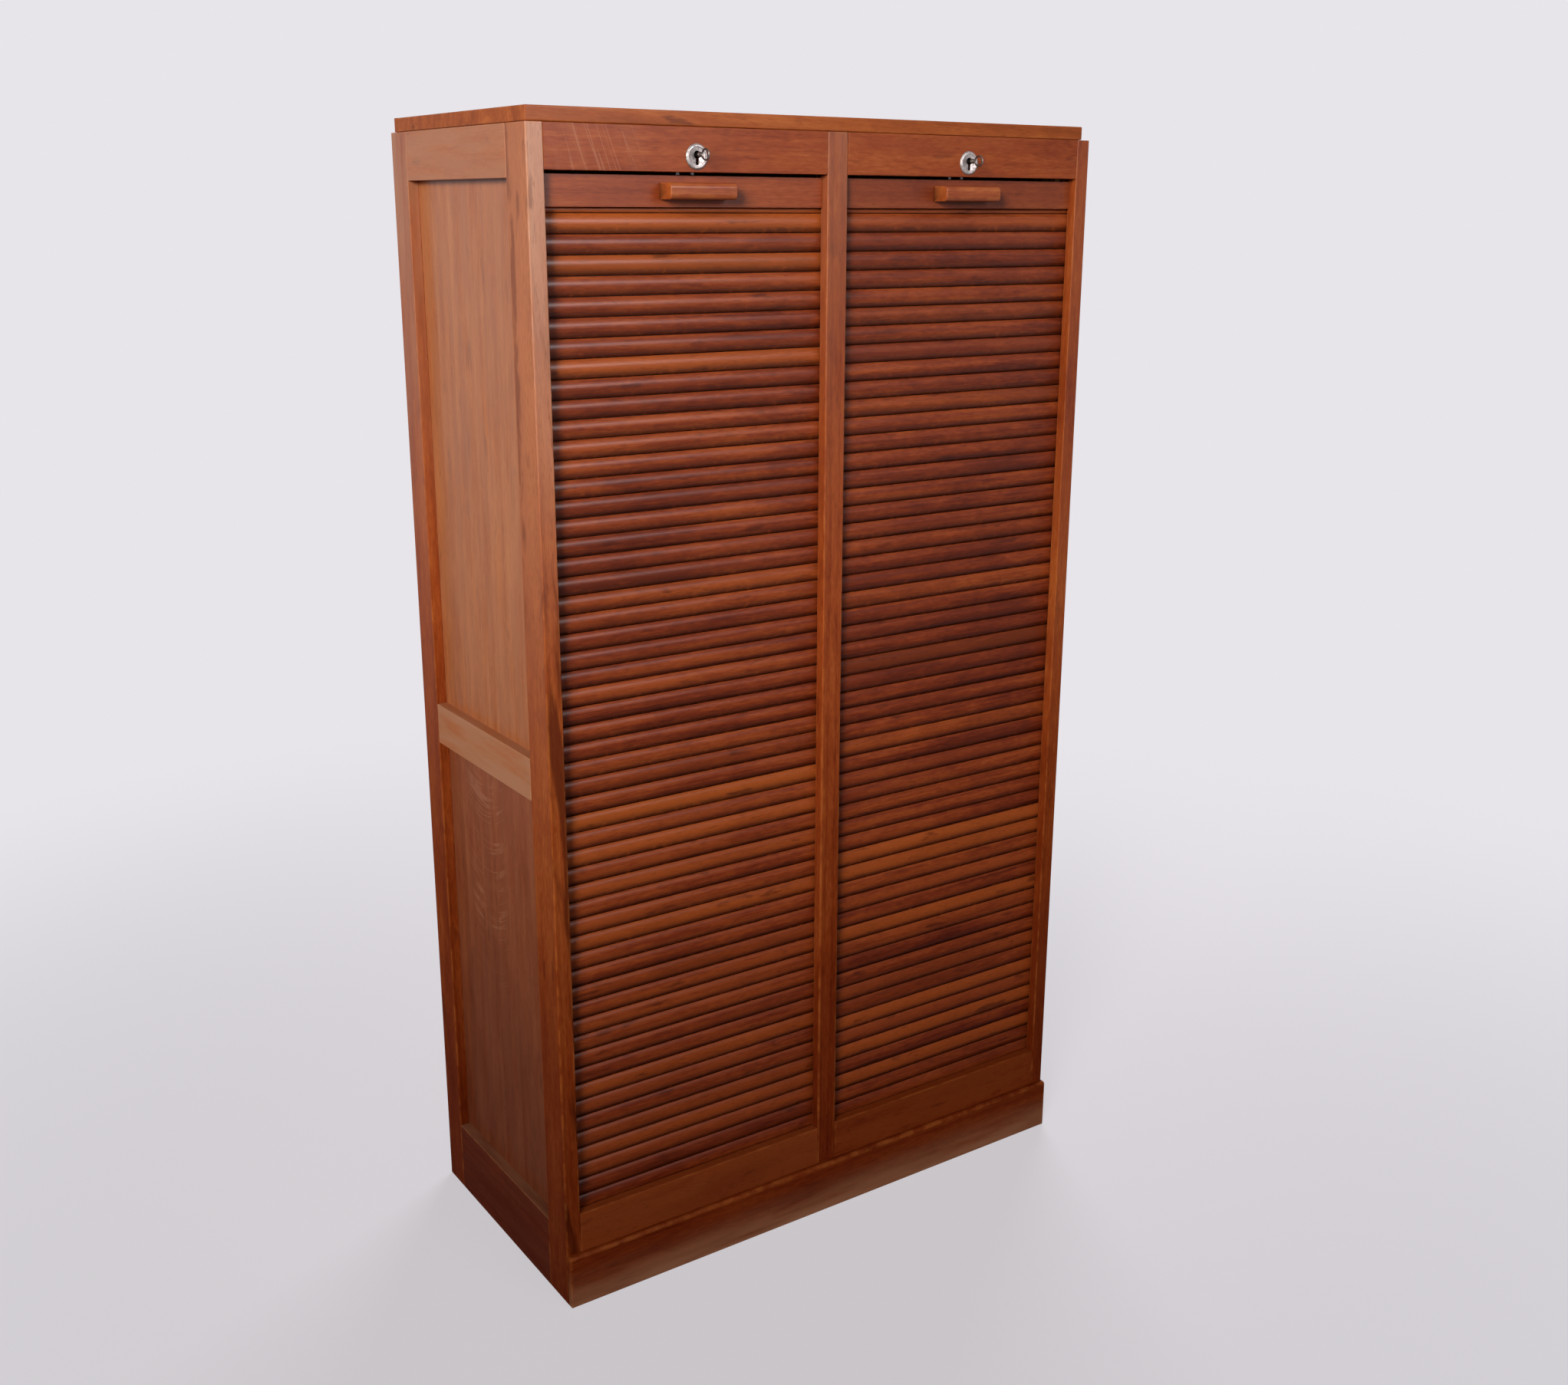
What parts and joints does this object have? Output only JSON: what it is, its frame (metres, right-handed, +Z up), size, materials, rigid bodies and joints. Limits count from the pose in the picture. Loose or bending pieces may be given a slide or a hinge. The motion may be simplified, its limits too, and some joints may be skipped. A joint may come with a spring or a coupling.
{
  "type": "tambour door cabinet",
  "caption": "Tall oak filing cabinet with a framed carcass, whose slatted roller doors slide down behind the front to show shelves, each with a pull and a keyed lock.",
  "frame": {"origin": "under the middle of the whole object on the floor: middle of the width, and of the depth from the key's bow to the back posts", "axes": "+Z up, -Y out of the front with the curtains, +X to the right of someone facing the front"},
  "size_m": [1, 0.494, 1.8],
  "materials": {
    "oak_frame": "stained oak under shellac, satin, with open grain",
    "oak_panel": "stained oak panel, satin, upright grain",
    "oak_slat": "dark stained oak slats, satin, grain along the slats",
    "oak_inside": "paler oak inside, thin finish",
    "plywood": "thin plywood, thin finish",
    "nickel": "worn nickel plate",
    "steel": "old bright steel"
  },
  "bodies": {
    "carcass": {"top_board": "oak_frame", "front_post_left": "oak_frame", "front_post_right": "oak_frame", "back_post_left": "oak_frame", "back_post_right": "oak_frame", "divider_post": "oak_frame", "back_divider_post": "oak_frame", "centre_bearer": "oak_inside", "side_top_rail_left": "oak_frame", "side_top_rail_right": "oak_frame", "side_mid_rail_left": "oak_frame", "side_mid_rail_right": "oak_frame", "side_bottom_rail_left": "oak_frame", "side_bottom_rail_right": "oak_frame", "side_upper_panel_left": "oak_panel", "side_upper_panel_right": "oak_panel", "side_lower_panel_left": "oak_panel", "side_lower_panel_right": "oak_panel", "front_top_rail_left": "oak_frame", "front_top_rail_right": "oak_frame", "front_bottom_rail_left": "oak_frame", "front_bottom_rail_right": "oak_frame", "plinth": "oak_frame", "back_top_rail": "oak_frame", "back_bottom_rail": "oak_frame", "back_muntin": "oak_frame", "back_panel_left": "plywood", "back_panel_right": "plywood", "inner_back_left": "plywood", "inner_back_right": "plywood", "centre_partition": "oak_inside", "side_lining_left": "oak_inside", "side_lining_right": "oak_inside", "floor_board_left": "oak_inside", "floor_board_right": "oak_inside", "shelf_left_1": "oak_inside", "shelf_left_2": "oak_inside", "shelf_left_3": "oak_inside", "shelf_right_1": "oak_inside", "shelf_right_2": "oak_inside", "shelf_right_3": "oak_inside", "slat_curtain_left": "oak_slat", "slat_curtain_right": "oak_slat", "curtain_tail_left": "oak_slat", "curtain_tail_right": "oak_slat", "lock_case_left": "steel", "lock_case_right": "steel", "lock_plate_left": "nickel", "lock_plate_right": "nickel"},
    "lead_left": {"lead_rail_left": "oak_frame", "pull_left": "oak_frame", "strike_plate_left": "nickel"},
    "lead_right": {"lead_rail_right": "oak_frame", "pull_right": "oak_frame", "strike_plate_right": "nickel"},
    "key_left_body": {"key_left": "steel"},
    "key_right_body": {"key_right": "steel"},
    "bolt_left_body": {"lock_bolt_left": "nickel"},
    "bolt_right_body": {"lock_bolt_right": "nickel"}
  },
  "joints": [
    {"name": "curtain_left", "type": "slide", "parent": "carcass", "child": "lead_left", "axis": [0, 0, -1], "range_m": [0, 1.516], "deforming": ["slat_curtain_left"]},
    {"name": "curtain_right", "type": "slide", "parent": "carcass", "child": "lead_right", "axis": [0, 0, -1], "range_m": [0, 1.516], "deforming": ["slat_curtain_right"]},
    {"name": "key_turn_left", "type": "hinge", "parent": "carcass", "child": "key_left_body", "pos_m": [-0.2415, -0.213, 1.743], "axis": [0, 1, 0], "range_deg": [0, 90]},
    {"name": "key_turn_right", "type": "hinge", "parent": "carcass", "child": "key_right_body", "pos_m": [0.2475, -0.213, 1.743], "axis": [0, 1, 0], "range_deg": [0, 90]},
    {"name": "bolt_throw_left", "type": "slide", "parent": "carcass", "child": "bolt_left_body", "axis": [0, 0, -1], "range_m": [0, 0.008]},
    {"name": "bolt_throw_right", "type": "slide", "parent": "carcass", "child": "bolt_right_body", "axis": [0, 0, -1], "range_m": [0, 0.008]}
  ],
  "couplings": [
    {"joint": "key_turn_left", "follows": "bolt_throw_left", "rad_per_m": 196.34},
    {"joint": "key_turn_right", "follows": "bolt_throw_right", "rad_per_m": 196.34}
  ]
}
